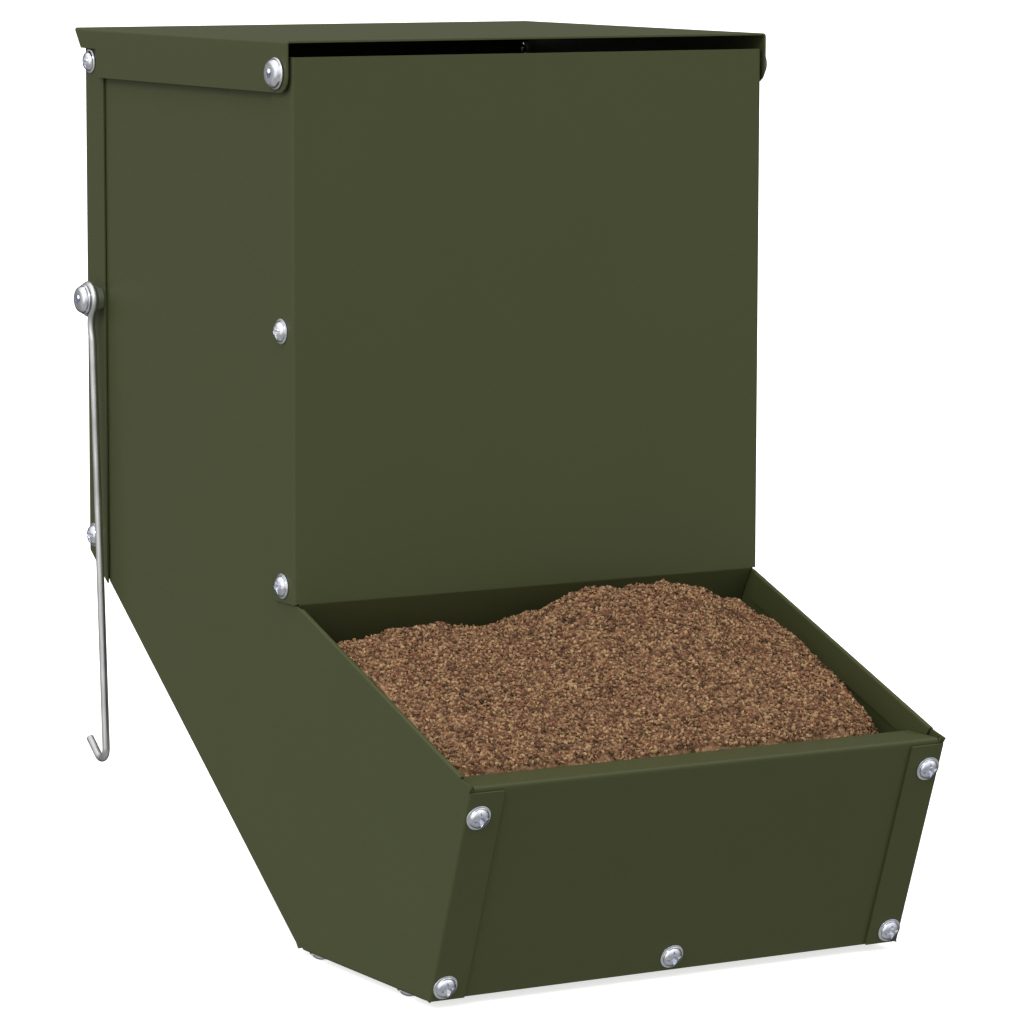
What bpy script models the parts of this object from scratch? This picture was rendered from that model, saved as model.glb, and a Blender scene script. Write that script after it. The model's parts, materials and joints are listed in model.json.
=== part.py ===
# Hanging gravity feeder for poultry, folded from thin painted steel sheet and screwed together.
#
# The pieces are laid out in a shop frame: X across, Y to the back, Z up, with y = 0 at the hopper's
# front face and z = 0 under the trough. An empty moves that frame so that the finished object's
# origin lies on the back face, level with the hook pivots, where the feeder hangs.

import math

import bmesh
import bpy
from mathutils import Matrix, Vector

MM = 0.001

# Sheet metal
SHEET = 0.8 * MM
GAP = 0.3 * MM  # between two pieces that touch
LAYER = SHEET + GAP  # from one sheet's face to the same face of the sheet laid on it
BEND_RADIUS = 1.2 * MM  # outside of a fold
SIDE_BEND_RADIUS = 0.9 * MM  # tighter on the side panels, so that the hem closes
FOLD_STEP = math.radians(30)  # of a fold's turn, for each facet
FLANGE = 14 * MM  # side panels' folded edges
LAP = 16 * MM  # back panel's lip under the sloping floor
UPSTAND = 13 * MM  # floor's folded edge behind the trough front
RELIEF = 3.5 * MM  # left open between two folds at a corner
FLANGE_DROP = 2.5 * MM  # from the trough rim down to the flange behind the trough front

# Hopper
WIDTH = 200 * MM  # over the folded edges of the front and back panels
DEPTH = 174.7 * MM
WALL_FOOT = 127.2 * MM  # lower edge of the front and back panels
WALL_TOP = 325.5 * MM
FRONT_RETURN = 16 * MM
BACK_RETURN = 16.5 * MM
THROAT_LENGTH = 32 * MM  # plate that leads the feed down behind the front panel
THROAT_ANGLE = math.radians(30)  # from upright

# Trough
BASE_LENGTH = 98.9 * MM
TROUGH_RISE = 81 * MM
TROUGH_LEAN = 29.4 * MM
LIP = 19 * MM  # inward edge along the top of the trough front
HEM_WIDTH = 11 * MM
HEM_START = 3 * MM  # in front of the hopper
HEM_FOOT_START = 1.86 * MM  # the same at its lower edge
HEM_TAPER = 2.75 * MM  # its lower edge is that much shorter at the front

# Lid
LID_RISE = 5.9 * MM  # its top face over the upper edge of the walls
LID_TOP = WALL_TOP + LID_RISE
LID_OVERHANG = 4.8 * MM  # behind the back panel
LID_DEPTH = DEPTH + LID_OVERHANG
LID_SKIRT = 18.8 * MM
LID_CORNER = 6 * MM  # radius of the skirt's front lower corner
LID_CORNER_STEPS = 4
LID_HINGE_INSET = 8 * MM  # from the front edge
LID_HINGE_DROP = 11.8 * MM  # from the top
NOTCH_LENGTH = 19.5 * MM  # from the rear edge
NOTCH_SLANT = 5.9 * MM

# Screws and nuts, M5. A head's profile is in shares of its radius and its height.
SHANK_RADIUS = 2.5 * MM
HOLE_RADIUS = SHANK_RADIUS + GAP
SHANK_CHAMFER = 0.5 * MM
PAN_RADIUS = 4.75 * MM
PAN_HEIGHT = 2.6 * MM
PAN_PROFILE = [(0, 1), (0.58, 1), (0.84, 0.82), (1, 0.35), (1, 0)]
CROSS_LENGTH = 4.6 * MM
CROSS_WIDTH = 0.9 * MM
CROSS_DEPTH = 1.3 * MM
BUTTON_RADIUS = 5.9 * MM
BUTTON_HEIGHT = 3.0 * MM
BUTTON_COLLAR = 0.27  # the collar's share of the height
BUTTON_PROFILE = [(0, 1), (0.6, 1), (0.76, 0.8), (0.86, BUTTON_COLLAR), (1, BUTTON_COLLAR), (1, 0)]
SOCKET_WIDTH = 3.2 * MM  # across flats
SOCKET_DEPTH = 1.7 * MM
NUT_WIDTH = 8.0 * MM  # across flats
NUT_HEIGHT = 4.0 * MM
SHANK_END = 0.8 * MM  # stands out of the nut
NUT_CLEARANCE = 0.4 * MM
NUT_ROOM = NUT_WIDTH / 2 + NUT_CLEARANCE  # from a screw's centre to the nearest wall
WASHER_RADIUS = 5.0 * MM
WASHER_HEIGHT = 0.8 * MM

# Screw places
TROUGH_SCREW_DROP = 12 * MM  # from the top of the trough front
TROUGH_SCREW_RISE = NUT_ROOM + 1.5 * MM  # from its foot, so that the nut clears the floor
BASE_REAR_INSET = 9.5 * MM  # from the foot of the slope
BASE_FRONT_INSET = 22.9 * MM  # from the foot of the trough front
LAP_SCREW_INSET = 8.5 * MM
FRONT_SCREW_INSET = 9 * MM
FRONT_SCREW_HEIGHT = 226.4 * MM
FRONT_SCREW_RISE = 6 * MM  # from the front panel's lower edge
REAR_SCREW_RISE = 5.8 * MM  # from the back panel's lower edge
LID_REST_DROP = 12.8 * MM  # from the lid's top to the rear screws that it sits on when closed

# Hanging hooks
PIVOT_INSET = 11.7 * MM  # from the back face
PIVOT_HEIGHT = 226.6 * MM
WIRE_RADIUS = 1.5 * MM
EYE_RADIUS = 5.5 * MM  # to the wire's centre
EYE_OPENING = math.radians(52)
NECK_START = math.radians(40)  # where the neck leaves the eye, below the eye's front
NECK_EASE = 0.9  # of the neck's length, over which it straightens into the shaft
SHAFT_OFFSET = 2.4 * MM  # shaft's line in front of the pivot
NECK_LENGTH = 11 * MM
HOOK_REACH = 180.2 * MM  # pivot to the lowest point of the wire's centre
HOOK_RADIUS = 4.5 * MM
HOOK_TURN = math.radians(130)
HOOK_TIP = 10 * MM
HOOK_LEAN = math.radians(3.2)  # hangs with its foot towards the front
WIRE_CLEARANCE = 0.3 * MM  # the wire passes over the pan heads

STEPS = 16  # sides of a round piece
HOLE_STEPS = 12
EYE_STEPS = 16
NECK_STEPS = 6
FOOT_STEPS = 8
MERGE = 0.01 * MM
SHARP_ANGLE = math.radians(40)

# Faces that follow from the sizes above
WALL_X = WIDTH / 2
SIDE_X = WALL_X - LAYER
SIDE_INNER_X = SIDE_X - SHEET
INSIDE_X = SIDE_INNER_X - GAP
LID_X = WALL_X + GAP + WASHER_HEIGHT + GAP + SHEET
HINGE = Vector((LID_HINGE_INSET, LID_TOP - LID_HINGE_DROP))
PIVOT = Vector((DEPTH - PIVOT_INSET, PIVOT_HEIGHT))
WIRE_X = WALL_X + GAP + PAN_HEIGHT + WIRE_CLEARANCE + WIRE_RADIUS
SLOPE_TOP = Vector((DEPTH, WALL_FOOT))
SLOPE_FOOT = Vector((0, 0))
TROUGH_FOOT = Vector((-BASE_LENGTH, 0))
TROUGH_TOP = Vector((-BASE_LENGTH - TROUGH_LEAN, TROUGH_RISE))
TROUGH_BACK = Vector((0, WALL_FOOT))
CORNER_SCREW_X = SIDE_INNER_X - NUT_ROOM
LID_REST_HEIGHT = LID_TOP - LID_REST_DROP
HEM_SETBACK = 3 * LAYER + NUT_HEIGHT + SHANK_END + GAP  # behind the trough screws' nuts


def clear_scene():
    for old in list(bpy.data.objects):
        bpy.data.objects.remove(old, do_unlink=True)


def make_material(name, color, roughness, metallic):
    material = bpy.data.materials.new(name)
    material.use_nodes = True
    shader = material.node_tree.nodes["Principled BSDF"]
    shader.inputs["Base Color"].default_value = (*color, 1)
    shader.inputs["Roughness"].default_value = roughness
    shader.inputs["Metallic"].default_value = metallic
    material.diffuse_color = (*color, 1)
    return material


def make_origin():
    origin = bpy.data.objects.new("back_face_origin", None)
    origin.location = (0, -DEPTH, -PIVOT_HEIGHT)
    bpy.context.collection.objects.link(origin)
    return origin


def place(name, data, material, location=(0, 0, 0), turn=None):
    obj = bpy.data.objects.new(name, data)
    if not data.materials:
        data.materials.append(material)
    obj.parent = ORIGIN
    obj.location = location
    if turn:
        obj.rotation_euler = turn.to_euler()
    bpy.context.collection.objects.link(obj)
    return obj


def mesh_of(bm, name):
    mesh = bpy.data.meshes.new(name)
    bm.to_mesh(mesh)
    bm.free()
    return mesh


# Outlines in the side view. A point there is (y, z), and "inwards" is to the right of the way round
# that runs down the slope, along the base and up the trough front.


def along(start, end):
    return (end - start).normalized()


def inwards(start, end):
    way = along(start, end)
    return Vector((way.y, -way.x))


def crossing(point_a, way_a, point_b, way_b):
    between = point_b - point_a
    share = (between.x * way_b.y - between.y * way_b.x) / (way_a.x * way_b.y - way_a.y * way_b.x)
    return point_a + way_a * share


def offset_outline(points, offsets):
    lines = []
    for start, end, offset in zip(points, points[1:], offsets):
        lines.append((start + inwards(start, end) * offset, along(start, end)))
    moved = [lines[0][0]]
    for before, after in zip(lines, lines[1:]):
        moved.append(crossing(*before, *after))
    moved.append(points[-1] + inwards(points[-2], points[-1]) * offsets[-1])
    return moved


def arc(center, radius, start, sweep, steps):
    angles = [start + sweep * step / steps for step in range(steps + 1)]
    return [center + Vector((math.cos(a), math.sin(a))) * radius for a in angles]


def at(x, yz):
    return Vector((x, yz[0], yz[1]))


def strip(start, end, x_start, x_end):
    return [at(x_start, start), at(x_end, start), at(x_end, end), at(x_start, end)]


# Folded sheet: the outer faces are drawn flat to flat, each shared edge is rounded as a fold, and
# the sheet's thickness goes inwards.


def round_fold(bm, edge, radius):
    bend = edge.calc_face_angle()
    bmesh.ops.bevel(
        bm,
        geom=[edge],
        offset=radius * math.tan(bend / 2),
        offset_type="OFFSET",
        segments=max(2, round(bend / FOLD_STEP)),
        profile=0.5,
        affect="EDGES",
        clamp_overlap=False,
    )


def fold_sheet(name, faces, outward, pivot=(0, 0, 0), radius=BEND_RADIUS):
    bm = bmesh.new()
    for corners in faces:
        bm.faces.new([bm.verts.new(corner - Vector(pivot)) for corner in corners])
    bmesh.ops.remove_doubles(bm, verts=bm.verts, dist=MERGE)
    bmesh.ops.recalc_face_normals(bm, faces=bm.faces)
    bm.faces.ensure_lookup_table()
    if bm.faces[0].normal.dot(Vector(outward)) < 0:
        bmesh.ops.reverse_faces(bm, faces=bm.faces)
    for edge in [edge for edge in bm.edges if len(edge.link_faces) == 2]:
        round_fold(bm, edge, radius)
    sheet = place(name, mesh_of(bm, name), PAINT, pivot)
    thickness = sheet.modifiers.new("sheet", "SOLIDIFY")
    thickness.thickness = SHEET
    thickness.offset = -1
    thickness.use_even_offset = True
    return sheet


def turned_to(outward):
    """Rotation that takes +Z outward and keeps a nut's flats facing the sides."""
    z_axis = Vector(outward).normalized()
    flat = Vector((0, 1, 0)) if abs(z_axis.x) > 0.5 else Vector((1, 0, 0))
    y_axis = z_axis.cross(flat).normalized()
    return Matrix((y_axis.cross(z_axis), y_axis, z_axis)).transposed()


def drill(panel, screws):
    """Cuts the clearance hole of each screw, given as (point under the head, way out, grip)."""
    bm = bmesh.new()
    for point, outward, grip in screws:
        turned = turned_to(outward)
        middle = point - turned.col[2] * (grip / 2)
        bmesh.ops.create_cone(
            bm,
            cap_ends=True,
            segments=HOLE_STEPS,
            radius1=HOLE_RADIUS,
            radius2=HOLE_RADIUS,
            depth=grip + 2 * GAP,
            matrix=Matrix.Translation(middle) @ turned.to_4x4(),
        )
    cutter = place(panel.name + "_drill", mesh_of(bm, panel.name + "_drill"), PAINT)
    cutter.hide_render = True
    cutter.display_type = "WIRE"
    holes = panel.modifiers.new("holes", "BOOLEAN")
    holes.operation = "DIFFERENCE"
    holes.solver = "EXACT"
    holes.object = cutter


# Turned pieces and fasteners


def join_rings(bm, rings):
    """Skins a closed row of rings; a ring of one point is a pole."""
    for upper, lower in zip(rings, rings[1:]):
        steps = max(len(upper), len(lower))
        for step in range(steps):
            after = (step + 1) % steps
            corners = [upper[step % len(upper)], lower[step % len(lower)]]
            corners += [lower[after % len(lower)], upper[after % len(upper)]]
            bm.faces.new(list(dict.fromkeys(corners)))
    bmesh.ops.recalc_face_normals(bm, faces=bm.faces)


def turn_profile(name, profile, ring=False):
    """Turns (radius, height) points, listed from top to bottom on the outer side, about Z."""
    bm = bmesh.new()
    rings = []
    for radius, height in profile:
        angles = [2 * math.pi * step / STEPS for step in range(STEPS if radius else 1)]
        rings.append([bm.verts.new((radius * math.cos(a), radius * math.sin(a), height)) for a in angles])
    join_rings(bm, rings + rings[:1] if ring else rings)
    return smooth(mesh_of(bm, name))


def smooth(mesh):
    mesh.shade_smooth()
    mesh.set_sharp_from_angle(angle=SHARP_ANGLE)
    return mesh


def cut_recess(mesh, cutter_bm, name):
    """Cuts a driver recess into a turned screw, once for all screws that share the mesh."""
    blank = bpy.data.objects.new(name + "_blank", mesh)
    cutter = bpy.data.objects.new(name + "_recess", mesh_of(cutter_bm, name + "_recess"))
    for helper in (blank, cutter):
        bpy.context.collection.objects.link(helper)
    recess = blank.modifiers.new("recess", "BOOLEAN")
    recess.operation = "DIFFERENCE"
    recess.solver = "EXACT"
    recess.object = cutter
    graph = bpy.context.evaluated_depsgraph_get()
    cut = bpy.data.meshes.new_from_object(blank.evaluated_get(graph))
    for helper in (blank, cutter):
        bpy.data.objects.remove(helper, do_unlink=True)
    cut.name = name
    return cut


def screw_profile(head_shares, radius, height, length):
    head = [(across * radius, up * height) for across, up in head_shares]
    tip = SHANK_RADIUS - SHANK_CHAMFER
    shank = [(SHANK_RADIUS, 0), (SHANK_RADIUS, -length + SHANK_CHAMFER), (tip, -length)]
    return head + shank + [(0, -length)]


def pan_screw_mesh(length):
    profile = screw_profile(PAN_PROFILE, PAN_RADIUS, PAN_HEIGHT, length)
    mesh = turn_profile("pan_screw", profile)
    cross = bmesh.new()
    corners = [
        (CROSS_WIDTH, CROSS_LENGTH),
        (CROSS_WIDTH, CROSS_WIDTH),
        (CROSS_LENGTH, CROSS_WIDTH),
        (CROSS_LENGTH, -CROSS_WIDTH),
        (CROSS_WIDTH, -CROSS_WIDTH),
        (CROSS_WIDTH, -CROSS_LENGTH),
    ]
    outline = [(x / 2, y / 2) for x, y in corners] + [(-x / 2, -y / 2) for x, y in corners]
    floor = PAN_HEIGHT - CROSS_DEPTH
    face = cross.faces.new([cross.verts.new((x, y, floor)) for x, y in outline])
    raised = bmesh.ops.extrude_face_region(cross, geom=[face])["geom"]
    top = [vert for vert in raised if isinstance(vert, bmesh.types.BMVert)]
    bmesh.ops.translate(cross, verts=top, vec=(0, 0, 2 * CROSS_DEPTH))
    bmesh.ops.recalc_face_normals(cross, faces=cross.faces)
    return cut_recess(mesh, cross, "pan_screw")


def button_bolt_mesh(length):
    profile = screw_profile(BUTTON_PROFILE, BUTTON_RADIUS, BUTTON_HEIGHT, length)
    mesh = turn_profile("button_bolt", profile)
    socket = bmesh.new()
    bmesh.ops.create_cone(
        socket,
        cap_ends=True,
        segments=6,
        radius1=SOCKET_WIDTH / math.sqrt(3),
        radius2=SOCKET_WIDTH / math.sqrt(3),
        depth=2 * SOCKET_DEPTH,
        matrix=Matrix.Translation((0, 0, BUTTON_HEIGHT)),
    )
    return cut_recess(mesh, socket, "button_bolt")


def nut_mesh():
    """Hexagon with its bore, flats towards local X, and its top face at z = 0."""
    bm = bmesh.new()
    across = [NUT_WIDTH / 2, NUT_WIDTH / math.sqrt(3)]
    rings = []
    for bore, height in ((False, 0), (False, -NUT_HEIGHT), (True, -NUT_HEIGHT), (True, 0)):
        ring = []
        for step in range(HOLE_STEPS):
            radius = HOLE_RADIUS if bore else across[step % 2]
            angle = 2 * math.pi * step / HOLE_STEPS
            ring.append(bm.verts.new((radius * math.cos(angle), radius * math.sin(angle), height)))
        rings.append(ring)
    join_rings(bm, rings + rings[:1])
    return mesh_of(bm, "hex_nut")


def fasten(name, head_point, outward, grip, button=False):
    """A screw with its head on head_point and its nut behind the sheets, which are grip thick."""
    way = Vector(outward).normalized()
    length = GAP + grip + GAP + NUT_HEIGHT + SHANK_END
    key = (button, round(length / MM, 2))
    if key not in SCREW_MESHES:
        SCREW_MESHES[key] = button_bolt_mesh(length) if button else pan_screw_mesh(length)
    spin = turned_to(way)
    kind = "bolt" if button else "screw"
    place(f"{name}_{kind}", SCREW_MESHES[key], ZINC, head_point + way * GAP, spin)
    place(f"{name}_nut", NUT_MESH, ZINC, head_point - way * (grip + GAP), spin)


# Panels


def side_outline():
    """The side panel's plate, and where its folds start and end on it."""
    slope = along(SLOPE_FOOT, SLOPE_TOP)
    front = along(TROUGH_FOOT, TROUGH_TOP)
    rim = along(TROUGH_TOP, TROUGH_BACK)
    rear_y = DEPTH - LAYER
    front_y = LAYER
    rear_foot = SLOPE_TOP + slope * ((rear_y - DEPTH) / slope.x)
    rim_end = Vector((front_y, WALL_FOOT - GAP))  # under the front panel's lower edge
    slope_length = (SLOPE_TOP - SLOPE_FOOT).length
    front_length = (TROUGH_TOP - TROUGH_FOOT).length
    hem_front = crossing(
        TROUGH_TOP, rim, TROUGH_FOOT + inwards(TROUGH_FOOT, TROUGH_TOP) * HEM_SETBACK, front
    )
    hem_back = TROUGH_BACK - rim * (HEM_START / rim.x)
    folds = {
        "slope": (slope * (slope_length - LAP - RELIEF), slope * RELIEF),
        "base": (Vector((-RELIEF, 0)), TROUGH_FOOT + Vector((RELIEF, 0))),
        "front": (TROUGH_FOOT + front * GAP, TROUGH_FOOT + front * (front_length - FLANGE_DROP)),
        "hem": (hem_front, hem_back),
    }
    plate = [Vector((rear_y, WALL_TOP)), rear_foot, *folds["slope"], SLOPE_FOOT, *folds["base"]]
    plate += [TROUGH_FOOT, *folds["front"], TROUGH_TOP, *folds["hem"], rim_end]
    plate.append(Vector((front_y, WALL_TOP)))
    return plate, folds


def hem_faces(x_outer, side, start, end):
    """The rim's sheet goes over the top and back down inside."""
    x_inner = x_outer - side * (2 * SHEET + GAP)
    rim = along(start, end)
    foot = start + inwards(start, end) * HEM_WIDTH
    foot_end = crossing(foot, rim, Vector((-HEM_FOOT_START, 0)), Vector((0, 1)))
    leg = [at(x_inner, start), at(x_inner, end), at(x_inner, foot_end)]
    leg.append(at(x_inner, foot + rim * HEM_TAPER))
    return [strip(start, end, x_outer, x_inner), leg]


def side_panel(side, name):
    x_outer = side * SIDE_X
    x_flange = side * (SIDE_X - FLANGE)
    plate, folds = side_outline()
    faces = [[at(x_outer, yz) for yz in plate]]
    for fold in ("slope", "base", "front"):
        faces.append(strip(*folds[fold], x_outer, x_flange))
    faces += hem_faces(x_outer, side, *folds["hem"])
    return fold_sheet(name, faces, (side, 0, 0), radius=SIDE_BEND_RADIUS)


def hopper_front_panel():
    throat = Vector((math.sin(THROAT_ANGLE), -math.cos(THROAT_ANGLE))) * THROAT_LENGTH
    foot = Vector((0, WALL_FOOT))
    top = Vector((0, WALL_TOP))
    plate = [at(-WALL_X, top), at(-WALL_X, foot), at(-INSIDE_X, foot), at(INSIDE_X, foot)]
    plate += [at(WALL_X, foot), at(WALL_X, top)]
    faces = [plate, strip(foot, foot + throat, -INSIDE_X, INSIDE_X)]
    back = Vector((FRONT_RETURN, 0))
    for x in (-WALL_X, WALL_X):
        faces.append([at(x, foot), at(x, foot + back), at(x, top + back), at(x, top)])
    return fold_sheet("hopper_front_panel", faces, (0, -1, 0))


def back_panel():
    foot = SLOPE_TOP
    top = Vector((DEPTH, WALL_TOP))
    lip_x = SIDE_X - FLANGE - RELIEF
    plate = [at(-WALL_X, top), at(-WALL_X, foot), at(-lip_x, foot), at(lip_x, foot)]
    plate += [at(WALL_X, foot), at(WALL_X, top)]
    down = along(SLOPE_TOP, SLOPE_FOOT)
    faces = [plate, strip(foot, foot + down * LAP, -lip_x, lip_x)]
    ahead = Vector((-BACK_RETURN, 0))
    cut = foot + down * (BACK_RETURN / -down.x)
    for x in (-WALL_X, WALL_X):
        faces.append([at(x, foot), at(x, cut), at(x, top + ahead), at(x, top)])
    return fold_sheet("back_panel", faces, (0, 1, 0))


def floor_outline():
    outline = [SLOPE_TOP, SLOPE_FOOT, TROUGH_FOOT, TROUGH_TOP]
    start, slope_foot, front_foot, _ = offset_outline(outline, [LAYER, LAYER, 2 * LAYER])
    start = start + along(SLOPE_TOP, SLOPE_FOOT) * 2 * LAYER
    upstand_top = front_foot + along(TROUGH_FOOT, TROUGH_TOP) * UPSTAND
    return [start, slope_foot, front_foot, upstand_top]


def floor_panel():
    outline = floor_outline()
    faces = [strip(*ends, -INSIDE_X, INSIDE_X) for ends in zip(outline, outline[1:])]
    return fold_sheet("floor_panel", faces, (0, 1, -1))


def trough_front_panel():
    front = along(TROUGH_FOOT, TROUGH_TOP)
    on_face = TROUGH_FOOT + inwards(TROUGH_FOOT, TROUGH_TOP) * LAYER
    foot = on_face + front * ((GAP - on_face.y) / front.y)
    top = on_face + front * ((TROUGH_RISE - on_face.y) / front.y)
    lip_x = SIDE_X - 2 * SHEET - 2 * GAP
    plate = [at(-INSIDE_X, foot), at(INSIDE_X, foot), at(INSIDE_X, top), at(lip_x, top)]
    plate += [at(-lip_x, top), at(-INSIDE_X, top)]
    faces = [plate, strip(top, top + Vector((LIP, 0)), -lip_x, lip_x)]
    return fold_sheet("trough_front_panel", faces, (0, -1, 0))


def lid_skirt():
    """Side view of the lid's folded edge, cut away at the rear over the screw that it sits on."""
    low = LID_TOP - LID_SKIRT
    rest = LID_REST_HEIGHT + PAN_RADIUS + GAP
    corner = Vector((LID_CORNER, low + LID_CORNER))
    outline = [Vector((0, LID_TOP))]
    outline += arc(corner, LID_CORNER, math.pi, math.pi / 2, LID_CORNER_STEPS)
    outline.append(Vector((LID_DEPTH - NOTCH_LENGTH, low)))
    outline.append(Vector((LID_DEPTH - NOTCH_LENGTH, rest)))
    outline.append(Vector((LID_DEPTH - NOTCH_SLANT, rest)))
    outline.append(Vector((LID_DEPTH, LID_TOP)))
    return outline


def lid():
    front, rear = Vector((0, LID_TOP)), Vector((LID_DEPTH, LID_TOP))
    faces = [strip(front, rear, -LID_X, LID_X)]
    for x in (-LID_X, LID_X):
        faces.append([at(x, yz) for yz in lid_skirt()])
    return fold_sheet("lid", faces, (0, 0, 1), pivot=at(0, HINGE))


# Hooks


def hook_line():
    """The wire's centre line about the pivot: nearly closed eye, swan neck, shaft, hooked foot."""
    neck_angle = math.pi + NECK_START
    eye_turn = 2 * math.pi - EYE_OPENING
    eye = arc(Vector((0, 0)), EYE_RADIUS, neck_angle - eye_turn, eye_turn, EYE_STEPS)
    way = Vector((-math.sin(neck_angle), math.cos(neck_angle)))
    shaft_top = Vector((-SHAFT_OFFSET, -EYE_RADIUS - NECK_LENGTH))
    neck = []
    for step in range(1, NECK_STEPS + 1):
        share = step / NECK_STEPS
        ease = share * share * (3 - 2 * share)
        free = eye[-1] + way * NECK_LENGTH * share
        settled = shaft_top + Vector((0, NECK_LENGTH)) * NECK_EASE * (1 - share)
        neck.append(free.lerp(settled, ease))
    center = Vector((-SHAFT_OFFSET + HOOK_RADIUS, -HOOK_REACH + HOOK_RADIUS))
    foot = arc(center, HOOK_RADIUS, math.pi, HOOK_TURN, FOOT_STEPS)
    tip_way = Vector((math.sin(HOOK_TURN), -math.cos(HOOK_TURN)))
    return eye + neck + foot + [foot[-1] + tip_way * HOOK_TIP]


def hook_rod(side, name):
    points = hook_line()
    curve = bpy.data.curves.new(name, "CURVE")
    curve.dimensions = "3D"
    curve.bevel_depth = WIRE_RADIUS
    curve.bevel_resolution = 2
    curve.use_fill_caps = True
    spline = curve.splines.new("POLY")
    spline.points.add(len(points) - 1)
    for spot, yz in zip(spline.points, points):
        spot.co = (0, yz.x, yz.y, 1)
    spline.use_smooth = True
    lean = Matrix.Rotation(-HOOK_LEAN, 3, "X")
    return place(name, curve, STEEL, at(side * WIRE_X, PIVOT), lean)


def hook_bush_mesh():
    """Flange against the panel, and a hub that the eye turns on. It lies from z = 0 outwards."""
    flange = WIRE_X - WIRE_RADIUS - WALL_X - 2 * GAP
    hub = flange + GAP + 2 * WIRE_RADIUS
    hub_radius = EYE_RADIUS - WIRE_RADIUS - GAP
    profile = [(hub_radius, hub), (hub_radius, flange), (WASHER_RADIUS, flange), (WASHER_RADIUS, 0)]
    return turn_profile("hook_bush", profile + [(HOLE_RADIUS, 0), (HOLE_RADIUS, hub)], ring=True), hub


def washer_mesh():
    profile = [(WASHER_RADIUS, WASHER_HEIGHT), (WASHER_RADIUS, 0)]
    profile += [(HOLE_RADIUS, 0), (HOLE_RADIUS, WASHER_HEIGHT)]
    return turn_profile("hinge_washer", profile, ring=True)


# Assembly

SCREW_MESHES = {}

clear_scene()
ORIGIN = make_origin()
PAINT = make_material("olive powder coat", (0.075, 0.084, 0.038), 0.5, 0)
ZINC = make_material("zinc plated steel", (0.72, 0.74, 0.78), 0.3, 1)
STEEL = make_material("bright steel wire", (0.45, 0.45, 0.46), 0.38, 1)
NUT_MESH = nut_mesh()


def side_screws(side):
    """The screws of one side: name, point under the head, way out, thickness held, panels."""
    out = (side, 0, 0)
    front = along(TROUGH_FOOT, TROUGH_TOP)
    front_out = at(0, -inwards(TROUGH_FOOT, TROUGH_TOP))
    corner_x = side * CORNER_SCREW_X
    two, three = SHEET + LAYER, SHEET + 2 * LAYER
    rear_y = DEPTH - SHEET - NUT_ROOM
    upper = TROUGH_TOP - front * TROUGH_SCREW_DROP
    lower = TROUGH_FOOT + front * TROUGH_SCREW_RISE
    rear_low = WALL_FOOT + REAR_SCREW_RISE
    screws = [
        ("rear_upper", at(side * WALL_X, (rear_y, LID_REST_HEIGHT)), out, two, ["back", "side"]),
        ("rear_lower", at(side * WALL_X, (rear_y, rear_low)), out, two, ["back", "side"]),
        ("trough_upper", at(corner_x, upper), front_out, two, ["trough", "side"]),
        ("trough_lower", at(corner_x, lower), front_out, three, ["trough", "side", "floor"]),
    ]
    for level, height in (("middle", FRONT_SCREW_HEIGHT), ("lower", WALL_FOOT + FRONT_SCREW_RISE)):
        spot = at(side * WALL_X, (FRONT_SCREW_INSET, height))
        screws.append((f"front_{level}", spot, out, two, ["front", "side"]))
    for level, y in (("rear", -BASE_REAR_INSET), ("front", BASE_FRONT_INSET - BASE_LENGTH)):
        spot = at(corner_x, (y, 0))
        screws.append((f"base_{level}", spot, (0, 0, -1), two, ["floor", "side"]))
    return screws


def middle_screws():
    front = along(TROUGH_FOOT, TROUGH_TOP)
    front_in = inwards(TROUGH_FOOT, TROUGH_TOP)
    slope_in = inwards(SLOPE_TOP, SLOPE_FOOT)
    foot = TROUGH_FOOT + front_in * LAYER + front * TROUGH_SCREW_RISE
    lap = SLOPE_TOP + along(SLOPE_TOP, SLOPE_FOOT) * LAP_SCREW_INSET
    two = SHEET + LAYER
    return [
        ("trough_center", at(0, foot), at(0, -front_in), two, ["trough", "floor"]),
        ("slope_lap", at(0, lap), at(0, -slope_in), two, ["back", "floor"]),
    ]


def pivot_bolts(side, bush_length):
    """The two button head bolts of one side, which the lid and the hook turn on."""
    out = (side, 0, 0)
    hinge = at(side * LID_X, HINGE)
    pivot_x = WALL_X + GAP + bush_length
    return [
        ("lid_hinge", hinge, out, LID_X - SIDE_INNER_X, ["lid", "front", "side"]),
        ("hook", at(side * pivot_x, PIVOT), out, pivot_x - SIDE_INNER_X, ["back", "side"]),
    ]


def build():
    panels = {
        "front": hopper_front_panel(),
        "back": back_panel(),
        "floor": floor_panel(),
        "trough": trough_front_panel(),
        "lid": lid(),
    }
    holes = {key: [] for key in panels}

    def fit(screws, hand="", button=False):
        for name, point, out, grip, sheets in screws:
            fasten(name + hand, point, out, grip, button)
            for sheet in sheets:
                holes[sheet].append((point, out, grip))

    bush_mesh, bush_length = hook_bush_mesh()
    hinge_washer = washer_mesh()
    for side, hand in ((-1, "_left"), (1, "_right")):
        panels["side"] = side_panel(side, "side_panel" + hand)
        holes["side"] = []
        fit(side_screws(side), hand)
        fit(pivot_bolts(side, bush_length), hand, button=True)
        drill(panels.pop("side"), holes.pop("side"))
        facing = turned_to((side, 0, 0))
        wall_x = side * (WALL_X + GAP)
        place("lid_hinge_washer" + hand, hinge_washer, ZINC, at(wall_x, HINGE), facing)
        place("hook_bush" + hand, bush_mesh, ZINC, at(wall_x, PIVOT), facing)
        hook_rod(side, "hook_rod" + hand)
    fit(middle_screws())
    for key, panel in panels.items():
        drill(panel, holes[key])


build()
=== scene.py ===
import json
import math

import bmesh
import bpy
import numpy as np
from mathutils import Matrix, Vector, noise

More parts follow.
